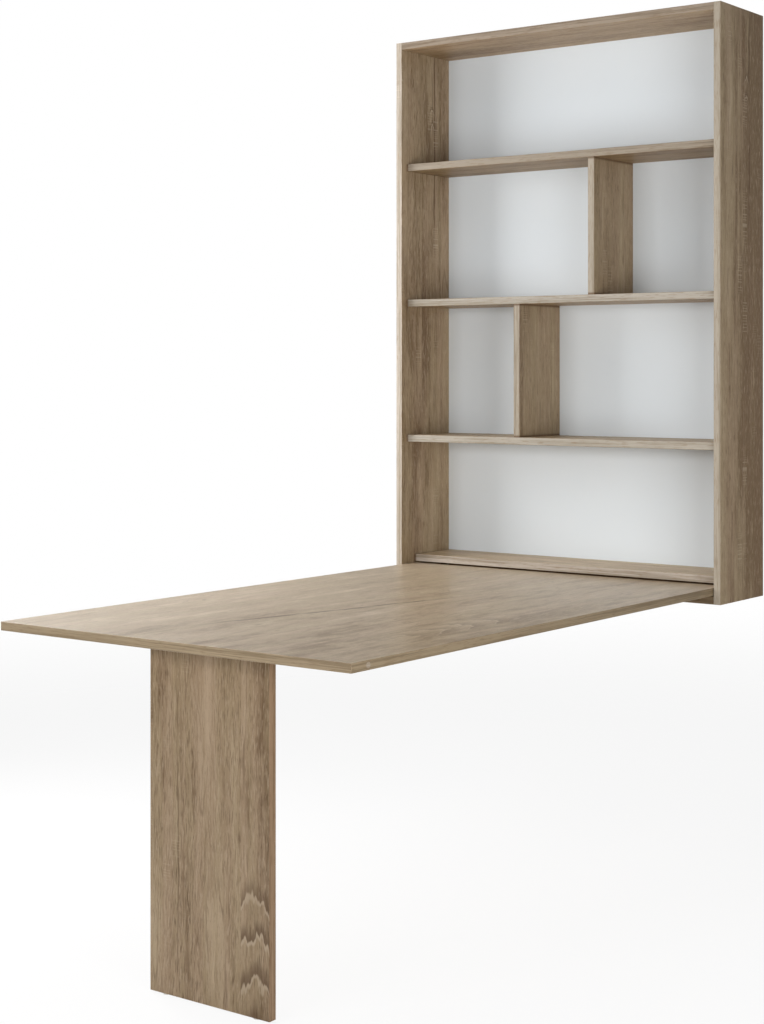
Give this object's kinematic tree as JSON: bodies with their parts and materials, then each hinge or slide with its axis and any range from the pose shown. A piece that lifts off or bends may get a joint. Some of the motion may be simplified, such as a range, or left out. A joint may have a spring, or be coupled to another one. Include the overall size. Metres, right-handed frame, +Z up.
{
  "type": "fold down wall desk",
  "caption": "Wall cabinet of open shelves whose full-height front folds down on sliding pins as a long table top, held up at its free end by a hinged panel leg.",
  "frame": {"origin": "on the floor, under the middle of the desk's length from the wall to the table's free edge, half way across its width", "axes": "+Z up, +X along the wall to the right when facing it, +Y into the wall; the table top reaches out along -Y"},
  "size_m": [1, 1.576, 2.17],
  "materials": {
    "oak_laminate": "greyed oak-grain laminate, low sheen",
    "table_laminate": "greyed oak-grain laminate, low sheen, grain along the table's length",
    "leg_laminate": "greyed oak-grain laminate, upright grain",
    "white_back": "white-faced fibreboard, matt",
    "beech": "bare beech",
    "zinc": "die-cast zinc, dull",
    "bright_steel": "turned steel",
    "nylon": "black nylon",
    "galvanised_steel": "galvanised sheet",
    "hinge_steel": "nickel-plated sheet",
    "glide_plastic": "dark brown plastic",
    "magnet_nickel": "nickel-plated magnet"
  },
  "bodies": {
    "cabinet": {"side_left": "oak_laminate", "side_right": "oak_laminate", "top_panel": "oak_laminate", "bottom_panel": "oak_laminate", "ledge_board": "oak_laminate", "shelf_lower": "oak_laminate", "shelf_middle": "oak_laminate", "shelf_upper": "oak_laminate", "divider_upper": "oak_laminate", "divider_lower": "oak_laminate", "back_panel": "white_back", "board_tongues": "beech", "divider_tongues": "beech", "cam_locks": "zinc", "cam_bolts": "bright_steel", "slot_liners": "nylon", "wall_rail": "galvanised_steel", "hanging_strip": "galvanised_steel", "wall_brackets": "galvanised_steel", "catch_magnet": "magnet_nickel"},
    "pins": {"pivot_pins": "bright_steel"},
    "leaf": {"table_leaf": "table_laminate", "pivot_bushes": "nylon", "catch_strike": "bright_steel", "leaf_hinge_plates": "hinge_steel", "hinge_pins": "bright_steel"},
    "leg": {"leg_panel": "leg_laminate", "leg_hinge_plates": "hinge_steel", "leg_glides": "glide_plastic"}
  },
  "joints": [
    {"name": "pin_slide", "type": "slide", "parent": "cabinet", "child": "pins", "axis": [0, -1, 0], "range_m": [0, 0.0461]},
    {"name": "table_fold", "type": "hinge", "parent": "pins", "child": "leaf", "pos_m": [0, 0.6195, 0.7405], "axis": [-1, 0, 0], "range_deg": [0, 90]},
    {"name": "leg_fold", "type": "hinge", "parent": "leaf", "child": "leg", "pos_m": [0, -0.6408, 0.7278], "axis": [1, 0, 0], "range_deg": [0, 90]}
  ],
  "couplings": [
    {"joint": "pin_slide", "follows": "table_fold", "m_per_rad": 0.029285}
  ]
}
